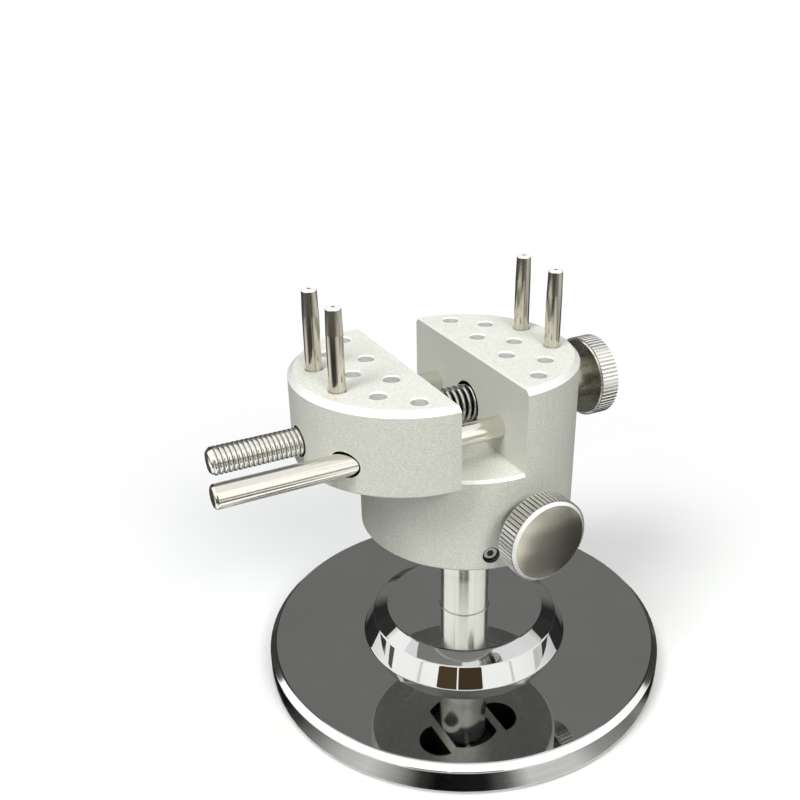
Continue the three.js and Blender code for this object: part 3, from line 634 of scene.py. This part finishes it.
def make_rod(finish, node, y):
    """A guide rod with broken end edges."""
    low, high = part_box(node)
    start, end = low.x / MM, high.x / MM
    profile = fillet([
        (0, start), (ROD_RADIUS - ROD_CHAMFER, start), (ROD_RADIUS, start + ROD_CHAMFER),
        (ROD_RADIUS, end - ROD_CHAMFER), (ROD_RADIUS - ROD_CHAMFER, end), (0, end),
    ], ROD_ROUNDING)
    maker = turned_maker(profile, ROD_SEGMENTS)
    piece = object_from(f"{node}_bar", maker, along_x(y), [finish["rod"]])
    seat(piece, "head", "steel", node)


def make_pin(finish, node, body):
    """An anti-pinch pin: a shank that tapers a little to a chamfered top with a centre pip."""
    low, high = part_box(node)
    bottom, top = low.z / MM, high.z / MM
    centre = (low + high) / 2
    edge = top - PIN_PIP_HEIGHT
    taper = bottom + (top - bottom) * PIN_TAPER_SHARE
    profile = fillet([
        (0, bottom), (PIN_RADIUS, bottom), (PIN_RADIUS, taper),
        (PIN_TOP_RADIUS, edge - PIN_CHAMFER_HEIGHT), (PIN_TOP_RADIUS - PIN_CHAMFER_WIDTH, edge),
        (PIN_PIP_FOOT_RADIUS, edge), (PIN_PIP_TOP_RADIUS, top), (0, top),
    ], PIN_ROUNDING)

    def is_bright(first, second):
        return int(first[1] >= edge - PIN_BRIGHT_DEPTH and second[0] > PIN_BRIGHT_RADIUS)

    piece = object_from(
        f"{node}_peg",
        turned_maker(profile, PIN_SEGMENTS, material_of=is_bright),
        Matrix.Translation((centre.x, centre.y, 0)), [finish["pin"], finish["edge"]])
    seat(piece, body, "steel", node)


def thread_maker(start, end, plain_to, segments=48):
    """Fills a bmesh with a bar along Z: a chamfered start, a thread up to end, then a plain shank.

    Faces among the spring's coils and those deep in the thread take the second finish, painted shade.
    """
    def point(turn, depth, step):
        height = min(end, max(start, start + (turn - 1 + step / segments) * SCREW_PITCH))
        fade = min(1, (end - height) / SCREW_PITCH)
        radius = SCREW_RADIUS - max(depth * fade, SCREW_END_CHAMFER - (height - start))
        angle = FULL_TURN * step / segments
        return Vector((radius * math.cos(angle), radius * math.sin(angle), height)) * MM

    def is_painted_shade(face):
        centre = face.calc_center_median()
        if SPRING_LEFT * MM < centre.z < SPRING_RIGHT * MM:
            return True
        deep = math.hypot(centre.x, centre.y) < THREAD_SHADE_RADIUS * MM
        past_chamfer = centre.z > (start + SCREW_PITCH) * MM
        return deep and abs(face.normal.z) < BAR_END and past_chamfer

    def make(work):
        # One turn more at each end, which point() keeps between start and end
        turns = math.ceil((end - start) / SCREW_PITCH) + 2
        levels = [(turn + share, depth) for turn in range(turns) for share, depth in THREAD_SECTION]
        rows = [[work.verts.new(point(turn, depth, step)) for step in range(segments)]
                for turn, depth in levels]
        last = len(rows) - 1
        for low in range(last):
            for step in range(segments):
                onward = len(THREAD_SECTION) if step == segments - 1 else 0
                following = (step + 1) % segments
                corners = [rows[low][step], rows[min(low + onward, last)][following],
                           rows[min(low + 1 + onward, last)][following], rows[low + 1][step]]
                corners = list(dict.fromkeys(corners))
                if len(corners) > 2:
                    work.faces.new(corners)
        shank = [work.verts.new((vertex.co.x, vertex.co.y, plain_to * MM)) for vertex in rows[last]]
        for step in range(segments):
            following = (step + 1) % segments
            work.faces.new((rows[last][step], rows[last][following], shank[following], shank[step]))
        work.faces.new(shank)
        bmesh.ops.remove_doubles(work, verts=work.verts, dist=MERGE_DISTANCE)
        open_edges = [edge for edge in work.edges if edge.is_boundary]
        bmesh.ops.holes_fill(work, edges=open_edges)
        bmesh.ops.recalc_face_normals(work, faces=work.faces)
        for face in work.faces:
            face.material_index = int(is_painted_shade(face))
    return make


def make_lead_screw(finish):
    """The lead screw, threaded over the stretch that can show."""
    low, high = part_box("lead_screw")
    maker = thread_maker(low.x / MM, THREAD_END, high.x / MM)
    materials = [finish["thread"], finish["bore"]]
    piece = object_from("lead_screw_thread", maker, along_x(), materials, THREAD_SHARP_ANGLE)
    seat(piece, "screw", "steel", "lead_screw")


def knurl(radius, height, angle, rim_low, rim_high):
    """Radius of the rim at an angle: narrow V grooves between flat ridges."""
    on_rim = rim_low - LEVEL_TOLERANCE <= height <= rim_high + LEVEL_TOLERANCE
    if radius < KNOB_RADIUS or not on_rim:
        return radius
    phase = (angle * KNURL_RIDGES / FULL_TURN) % 1
    ridge = abs(phase - 0.5) * 2
    return KNOB_RADIUS - KNURL_DEPTH * (1 - min(1, ridge * GROOVE_NARROWNESS))


def knob_part(top, rim_start, rim_high, rim_end):
    """Part of a knob that a band belongs to, by the height of the band's top."""
    if top <= rim_start + LEVEL_TOLERANCE:
        return "boss"
    if top <= rim_high + LEVEL_TOLERANCE:
        return "rim"
    return "edge" if top <= rim_end + LEVEL_TOLERANCE else "face"


def make_knob(finish, name, node, body, start, boss, matrix, rim="knurl", groove="dark"):
    """A knurled knob: boss, bright chamfers that are partly painted highlight, knurled rim with
    painted shade in its grooves, and a low polished dome.
    """
    rim_start = start + boss
    rim_end = rim_start + KNOB_RIM_LENGTH
    face = KNOB_RADIUS - KNOB_EDGE
    shares = [1 - step / KNOB_DOME_STEPS for step in range(KNOB_DOME_STEPS + 1)]
    dome = [(face * share, rim_end + KNOB_DOME * (1 - share ** 2)) for share in shares]
    shoulder = KNOB_RADIUS - KNURL_DEPTH - KNOB_SHOULDER_DROP
    rim_low = rim_start + KNOB_BACK_EDGE
    rim_high = rim_end - KNOB_FRONT_EDGE
    back = start + KNOB_BACK_GAP
    profile = [
        (0, back), (KNOB_BOSS_RADIUS - KNOB_BOSS_CHAMFER, back),
        (KNOB_BOSS_RADIUS, start + KNOB_BOSS_CHAMFER), (KNOB_BOSS_RADIUS, rim_start),
        (shoulder - KNOB_BACK_EDGE, rim_start), (shoulder, rim_low), (KNOB_RADIUS, rim_low),
        (KNOB_RADIUS, rim_high), (shoulder, rim_high), *dome,
    ]
    maker = turned_maker(
        profile, KNURL_RIDGES * SEGMENTS_PER_RIDGE,
        material_of=lambda first, second: KNOB_PARTS.index(
            knob_part(second[1], rim_start, rim_high, rim_end)),
        radius_at=lambda radius, height, angle: knurl(radius, height, angle, rim_low, rim_high),
        shade=(rim_low, rim_high, KNOB_RADIUS - KNURL_SHADE_DEPTH, KNOB_PARTS.index("groove")))
    materials = [finish[rim], finish["edge"], finish["face"], finish["boss"], finish[groove]]
    piece = object_from(name, maker, matrix, materials, KNOB_SHARP_ANGLE)
    seat(piece, body, "steel", node)


def spring_path(steps_per_turn=32, bend_steps=12):
    """Middle line of the spring: straight ends along X, bends and even coils."""
    tail = 2 * SPRING_WIRE_RADIUS
    bend = 2 * tail
    steps = SPRING_TURNS * steps_per_turn
    start = SPRING_LEFT + tail + bend
    end = SPRING_RIGHT - tail - bend

    def on(x, angle):
        return Vector((x, SPRING_COIL_RADIUS * math.sin(angle), SPRING_COIL_RADIUS * math.cos(angle)))

    coils = [on(start + (end - start) * step / steps, FULL_TURN * step / steps_per_turn)
             for step in range(steps + 1)]
    shares = [(step + 1) / bend_steps for step in range(bend_steps)]
    swings = [SPRING_END_SWING * math.sin(share * math.pi / 2) for share in shares]
    bend_in = [on(start - bend * share, -swing) for share, swing in zip(shares, swings)]
    bend_out = [on(end + bend * share, FULL_TURN * SPRING_TURNS + swing)
                for share, swing in zip(shares, swings)]
    first = Vector((SPRING_LEFT, bend_in[-1].y, bend_in[-1].z))
    last = Vector((SPRING_RIGHT, bend_out[-1].y, bend_out[-1].z))
    return [first, *reversed(bend_in), *coils, *bend_out, last]


def wire_maker(path, radius, sides):
    """Fills a bmesh with a round wire along a path, in millimetres."""
    def make(work):
        normal = Vector((0, 0, 1))
        rings = []
        for place, point in enumerate(path):
            before = path[max(place - 1, 0)]
            after = path[min(place + 1, len(path) - 1)]
            tangent = (after - before).normalized()
            normal = (normal - tangent * normal.dot(tangent)).normalized()
            side = tangent.cross(normal)
            angles = [FULL_TURN * step / sides for step in range(sides)]
            spokes = [normal * math.cos(angle) + side * math.sin(angle) for angle in angles]
            rings.append([work.verts.new((point + spoke * radius) * MM) for spoke in spokes])
        for low, high in zip(rings, rings[1:]):
            for step in range(sides):
                following = (step + 1) % sides
                work.faces.new((low[step], low[following], high[following], high[step]))
        work.faces.new(rings[0])
        work.faces.new(rings[-1])
    return make


def make_spring(finish):
    """The compression spring round the lead screw."""
    piece = object_from(
        "spring_wire_coil", wire_maker(spring_path(), SPRING_WIRE_RADIUS, SPRING_WIRE_SIDES),
        Matrix.Translation((0, 0, DRIVE_Z * MM)), [finish["spring"]], SPRING_SHARP_ANGLE)
    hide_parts("spring")
    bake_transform(piece)


def is_highlit_chamfer(polygon, straight_x):
    """Whether a face of the head or the jaw is one of its bright chamfers, partly painted highlight.
    """
    centre = polygon.center
    slanted = SLANTED[0] < abs(polygon.normal.z) < SLANTED[1]
    outside = math.hypot(centre.x - straight_x, centre.y) > CHAMFER_INSIDE * MM
    level = any(low * MM < centre.z < high * MM for low, high in CHAMFER_LEVELS)
    return slanted and (outside and level or centre.z > JAW_EDGE_LEVEL * MM)


def is_deep(polygon, straight_x):
    """Whether a face lies in a pocket of the underside or in the drive's bores, in little light: it
    takes painted shade.
    """
    centre = polygon.center
    inside = math.hypot(centre.x, centre.y) < UNDERSIDE_RECESS_RADIUS * MM
    if inside and UNDERSIDE_RECESS_TOP * MM < centre.z < UNDERSIDE_TOP * MM:
        return True
    within = (math.hypot(centre.x - straight_x, centre.y) < BORE_INSIDE * MM
              and abs(centre.x - straight_x) > FLAT_FACE_DEPTH * MM)
    return within and any(
        math.hypot(centre.y - y * MM, centre.z - DRIVE_Z * MM) < radius * MM for y, radius in BORES)


def is_grub_hole(polygon):
    """Whether a face belongs to the grub screw's hole or its mouth."""
    centre = polygon.center
    aside = centre.x * math.sin(GRUB_AZIMUTH) - centre.y * math.cos(GRUB_AZIMUTH)
    outwards_along = centre.x * math.cos(GRUB_AZIMUTH) + centre.y * math.sin(GRUB_AZIMUTH)
    return (math.hypot(aside, centre.z - GRUB_Z * MM) < GRUB_MOUTH_RADIUS * MM
            and outwards_along > POST_RADIUS * MM)


def is_under(polygon):
    """Whether a face looks down from the head's underside, which takes a darker metal as painted
    shade.
    """
    return polygon.normal.z < LOOKS_DOWN and polygon.center.z < UNDERSIDE_RECESS_TOP * MM


def is_hole(polygon, straight_x):
    """Whether a face is the wall of a pin hole."""
    centre = polygon.center
    inside = math.hypot(centre.x - straight_x, centre.y) < CHAMFER_INSIDE * MM
    away = abs(centre.x - straight_x) > MM
    upright = abs(polygon.normal.z) < UPRIGHT_WALL
    return inside and away and centre.z > PIN_HOLE_BOTTOM * MM and upright


def jaw_finish(polygon, straight_x):
    """Name of the finish of a face of the head or the jaw."""
    # Deep faces and the grub screw's hole take near-black painted shade
    if is_deep(polygon, straight_x) or is_grub_hole(polygon):
        return "bore"
    if is_highlit_chamfer(polygon, straight_x):
        return "edge"
    if is_under(polygon):
        return "underside_shade"
    return "hole" if is_hole(polygon, straight_x) else "aluminium"


def dress_cad(finish, node, names):
    """Gives a carried-over node a material slot for each finish, and smooth shading."""
    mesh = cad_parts[node].data
    mesh.materials.clear()
    for name in names:
        mesh.materials.append(finish[name])
    mesh.shade_smooth()
    mesh.set_sharp_from_angle(angle=math.radians(CAD_SHARP_ANGLE))
    return mesh


def dress_jaw(finish, node, straight_x):
    """Gives the head or the jaw its finishes, face by face; its flat face lies at straight_x."""
    mesh = dress_cad(finish, node, JAW_FINISHES)
    for polygon in mesh.polygons:
        polygon.material_index = JAW_FINISHES.index(jaw_finish(polygon, straight_x))


def light(name, place, side, power, colour):
    """A square soft lamp that looks at the vise, and stays out of what gloss mirrors."""
    data = bpy.data.lights.new(name, "AREA")
    data.shape = "SQUARE"
    data.size = side
    data.energy = power
    data.color = colour
    lamp = bpy.data.objects.new(name, data)
    lamp.location = place
    lamp.rotation_mode = "QUATERNION"
    lamp.rotation_quaternion = (Vector(LAMP_AIM) - Vector(place)).to_track_quat("-Z", "Y")
    lamp.visible_glossy = False
    bpy.context.scene.collection.objects.link(lamp)


def white_where_seen(nodes, links, lit, seen):
    """Shows the seen shader to the camera, to gloss and to glass, and the lit one to the rest."""
    path = nodes.new("ShaderNodeLightPath")
    first = nodes.new("ShaderNodeMath")
    first.operation = "MAXIMUM"
    links.new(path.outputs["Is Camera Ray"], first.inputs[0])
    links.new(path.outputs["Is Glossy Ray"], first.inputs[1])
    second = nodes.new("ShaderNodeMath")
    second.operation = "MAXIMUM"
    links.new(first.outputs[0], second.inputs[0])
    links.new(path.outputs["Is Transmission Ray"], second.inputs[1])
    mix = nodes.new("ShaderNodeMixShader")
    links.new(second.outputs[0], mix.inputs["Fac"])
    links.new(lit, mix.inputs[1])
    links.new(seen, mix.inputs[2])
    return mix.outputs[0]


def set_world():
    """A white studio room that throws only a little light."""
    world = bpy.data.worlds.new("studio")
    bpy.context.scene.world = world
    world.use_nodes = True
    nodes, links = world.node_tree.nodes, world.node_tree.links
    soft = nodes["Background"]
    soft.inputs["Color"].default_value = (1, 1, 1, 1)
    soft.inputs["Strength"].default_value = WORLD_LIGHT
    white = nodes.new("ShaderNodeBackground")
    white.inputs["Color"].default_value = (1, 1, 1, 1)
    white.inputs["Strength"].default_value = 1
    seen = white_where_seen(nodes, links, soft.outputs[0], white.outputs[0])
    links.new(seen, nodes["World Output"].inputs["Surface"])


def square_maker(half):
    """Fills a bmesh with a flat square on the ground, in metres."""
    def make(work):
        corners = [(-half, -half), (half, -half), (half, half), (-half, half)]
        work.faces.new([work.verts.new((x, y, 0)) for x, y in corners])
    return make


def set_floor():
    """A plain pale floor that fades to white away from the vise and throws little light at it."""
    floor = object_from("floor", square_maker(FLOOR_HALF), UPRIGHT, [])
    material, nodes, links, shader = new_material("pale_floor")
    shader.inputs["Base Color"].default_value = (*[FLOOR_SEEN_GREY] * 3, 1)
    shader.inputs["Roughness"].default_value = 0.9
    shader.inputs["Specular IOR Level"].default_value = 0.1
    dim = nodes.new("ShaderNodeBsdfDiffuse")
    dim.inputs["Color"].default_value = (*[FLOOR_LIT_GREY] * 3, 1)
    white = nodes.new("ShaderNodeEmission")
    place = nodes.new("ShaderNodeTexCoord")
    distance = nodes.new("ShaderNodeVectorMath")
    distance.operation = "LENGTH"
    links.new(place.outputs["Object"], distance.inputs[0])
    fade = nodes.new("ShaderNodeMapRange")
    fade.interpolation_type = "SMOOTHSTEP"
    fade.inputs["From Min"].default_value = FLOOR_FADE_START
    fade.inputs["From Max"].default_value = FLOOR_FADE_END
    links.new(distance.outputs["Value"], fade.inputs["Value"])
    far = nodes.new("ShaderNodeMixShader")
    links.new(fade.outputs["Result"], far.inputs["Fac"])
    links.new(shader.outputs[0], far.inputs[1])
    links.new(white.outputs[0], far.inputs[2])
    seen = white_where_seen(nodes, links, dim.outputs[0], far.outputs[0])
    links.new(seen, nodes["Material Output"].inputs["Surface"])
    floor.data.materials.append(material)


def painted_reflection_card(name, maker, stops, tint=CARD_TINT):
    """A glowing studio card that only gloss sees, a painted reflection: it shapes reflections and
    neither lights nor shades.

    Its level runs round the post's axis through stops of (degrees right of the camera, level).
    """
    material, nodes, links, _ = new_material(name)
    place = nodes.new("ShaderNodeTexCoord")
    turned = nodes.new("ShaderNodeMapping")
    turned.inputs["Rotation"].default_value = (0, 0, -CAMERA_AZIMUTH)
    split = nodes.new("ShaderNodeSeparateXYZ")
    angle = nodes.new("ShaderNodeMath")
    angle.operation = "ARCTAN2"
    round_share = nodes.new("ShaderNodeMapRange")
    round_share.inputs["From Min"].default_value = -math.pi
    round_share.inputs["From Max"].default_value = math.pi
    ramp = nodes.new("ShaderNodeValToRGB")
    elements = ramp.color_ramp.elements
    while len(elements) > 1:
        elements.remove(elements[-1])
    for degrees, level in stops:
        element = elements.new(0.5 + degrees / 360)
        element.color = (*(level * channel for channel in tint), 1)
    elements.remove(elements[0])
    glow = nodes.new("ShaderNodeEmission")
    glow.inputs["Strength"].default_value = CARD_STRENGTH
    links.new(place.outputs["Object"], turned.inputs["Vector"])
    links.new(turned.outputs["Vector"], split.inputs["Vector"])
    links.new(split.outputs["Y"], angle.inputs[0])
    links.new(split.outputs["X"], angle.inputs[1])
    links.new(angle.outputs[0], round_share.inputs["Value"])
    links.new(round_share.outputs["Result"], ramp.inputs["Fac"])
    links.new(ramp.outputs["Color"], glow.inputs["Color"])
    links.new(glow.outputs[0], nodes["Material Output"].inputs["Surface"])
    card = object_from(name, maker, UPRIGHT, [material])
    card.visible_camera = False
    card.visible_diffuse = False
    card.visible_transmission = False
    card.visible_shadow = False


def arc_maker(radius, low, high, start, end, widest_step=4, fewest_steps=4):
    """Fills a bmesh with an upright arc, in metres, between two angles right of the camera."""
    steps = max(fewest_steps, round((end - start) / widest_step))

    def make(work):
        angles = [CAMERA_AZIMUTH + math.radians(start + (end - start) * step / steps)
                  for step in range(steps + 1)]
        rows = [[work.verts.new((radius * math.cos(a), radius * math.sin(a), z)) for a in angles]
                for z in (low, high)]
        for step in range(steps):
            work.faces.new((rows[0][step], rows[0][step + 1], rows[1][step + 1], rows[1][step]))
    return make


def ring_maker(inner, outer, steps=64):
    """Fills a bmesh with a flat ring just above the floor, in metres."""
    def make(work):
        angles = [FULL_TURN * step / steps for step in range(steps)]
        rows = [[work.verts.new((r * math.cos(a), r * math.sin(a), GROUND_HEIGHT)) for a in angles]
                for r in (inner, outer)]
        for step in range(steps):
            following = (step + 1) % steps
            work.faces.new((rows[0][step], rows[1][step], rows[1][following], rows[0][following]))
    return make


def set_cards():
    """Painted reflections that the metal mirrors: a room, rings of ground, low dark cards behind, dark
    panels in front.
    """
    painted_reflection_card("card_room", arc_maker(ROOM_RADIUS, 0, ROOM_HEIGHT, -180, 180), ROOM_STOPS)
    inner = GROUND_START
    for name, outer, stops in GROUND_RINGS:
        painted_reflection_card(name, ring_maker(inner, outer), stops)
        inner = outer
    for name, start, end in LOW_CARDS:
        maker = arc_maker(LOW_CARD_RADIUS, 0, LOW_CARD_HEIGHT, start, end)
        painted_reflection_card(name, maker, ((0, LOW_CARD_LEVEL),))
    for name, start, end, level in PANELS:
        maker = arc_maker(PANEL_RADIUS, PANEL_BOTTOM, PANEL_TOP, start, end)
        painted_reflection_card(name, maker, ((0, level),), PANEL_TINT)


def set_stage():
    """World, floor, cards and lamps."""
    set_world()
    set_floor()
    set_cards()
    for lamp in LAMPS:
        light(*lamp)
    bpy.context.scene.view_settings.view_transform = "Standard"


def dress():
    """Every piece of the vise."""
    finish = finishes()
    make_base(finish)
    make_post(finish)
    make_rod(finish, "guide_rod_front", -ROD_OFFSET)
    make_rod(finish, "guide_rod_rear", ROD_OFFSET)
    make_lead_screw(finish)
    # The screw knob's ridges take painted light, and its grooves the plain knurled steel as painted
    # shade
    make_knob(finish, "screw_knob_knurled", "screw_knob", "screw", SCREW_KNOB_START, SCREW_KNOB_BOSS,
              along_x(), rim="knurl_painted_light", groove="knurl")
    make_knob(finish, "lock_knob_knurled", "lock_knob", "lock", LOCK_KNOB_START, LOCK_KNOB_BOSS,
              outwards(LOCK_AZIMUTH, LOCK_Z))
    make_spring(finish)
    for jaw, body in (("fixed_jaw", "fixed_pin"), ("movable_jaw", "sliding_pin")):
        for end in ("front", "rear"):
            make_pin(finish, f"{jaw}_pin_{end}", f"{body}_{end}")
    dress_jaw(finish, "vise_body", 0)
    dress_jaw(finish, "movable_jaw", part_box("movable_jaw")[1].x)
    for node, name in CAD_FINISHES:
        dress_cad(finish, node, [name])


set_camera()
dress()
set_stage()
